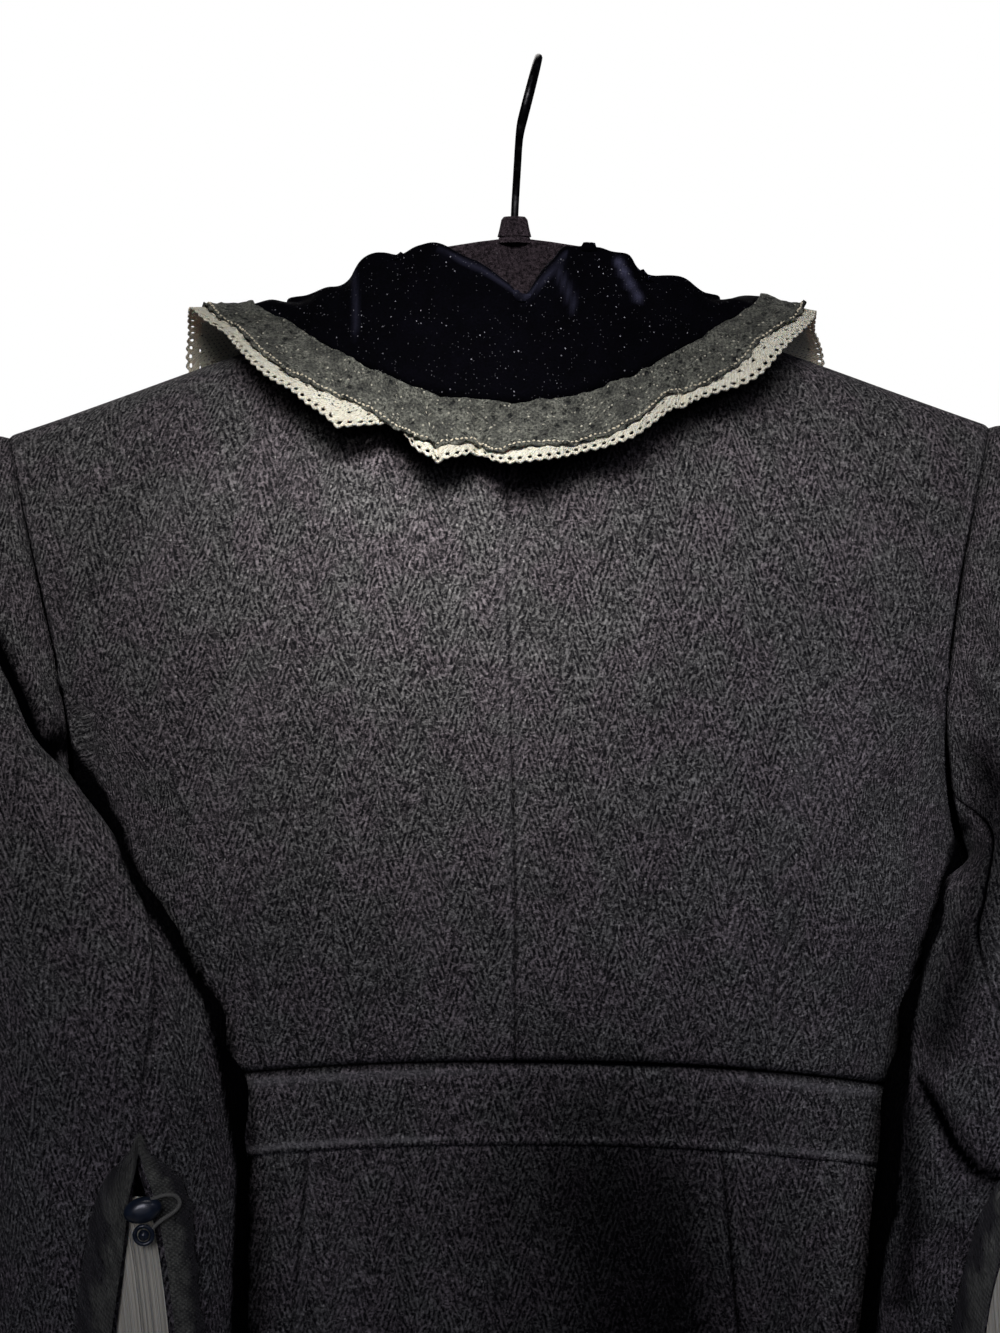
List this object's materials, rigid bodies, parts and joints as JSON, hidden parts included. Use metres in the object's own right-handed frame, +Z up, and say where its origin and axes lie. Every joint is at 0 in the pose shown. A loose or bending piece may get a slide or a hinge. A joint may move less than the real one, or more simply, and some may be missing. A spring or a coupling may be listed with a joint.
{
  "type": "fitted wool coat with a lace-edged velvet collar, on a clothes hanger",
  "caption": "Fitted wool coat with a velvet collar edged in gathered lace, an inset waistband, a flared skirt and lace sleeve vents, hanging on a flocked clothes hanger.",
  "frame": {"origin": "the inside top of the hanger's hook, where it bears on a rail", "axes": "+Z up, -Y towards the wearer's front, +X towards the wearer's left"},
  "size_m": [0.5068, 0.2108, 0.991],
  "materials": {
    "wool": "brushed charcoal herringbone twill with pale flecks",
    "velvet": "midnight-black pile velvet with fine sparkle",
    "grey_lace": "grey ribbon lace with pale specks",
    "cream_lace": "cream cotton lace with picot edge",
    "dark_lace": "black lace",
    "velvet_button": "velvet-covered button",
    "flock": "black flocked plastic",
    "wire": "black-plated steel wire"
  },
  "bodies": {
    "root": {"back_left": "wool", "back_right": "wool", "side_back_left": "wool", "side_back_right": "wool", "front_left": "wool", "front_right": "wool", "waistband_back": "wool", "waistband_front_left": "wool", "waistband_front_right": "wool", "skirt_back": "wool", "skirt_side_left": "wool", "skirt_side_right": "wool", "skirt_front_left": "wool", "skirt_front_right": "wool", "sleeve_top_left": "wool", "sleeve_top_right": "wool", "sleeve_under_left": "wool", "sleeve_under_right": "wool", "vent_lace_left": "dark_lace", "vent_lace_right": "dark_lace", "vent_insert_left": "cream_lace", "vent_insert_right": "cream_lace", "button_vent_left": "velvet_button", "button_vent_right": "velvet_button", "button_front_1": "velvet_button", "button_front_2": "velvet_button", "button_front_3": "velvet_button", "button_front_4": "velvet_button", "button_front_5": "velvet_button", "collar": "velvet", "collar_lace_grey": "grey_lace", "collar_lace_cream": "cream_lace", "hanger": "flock", "hanger_neck": "flock", "hook": "wire"}
  },
  "joints": []
}
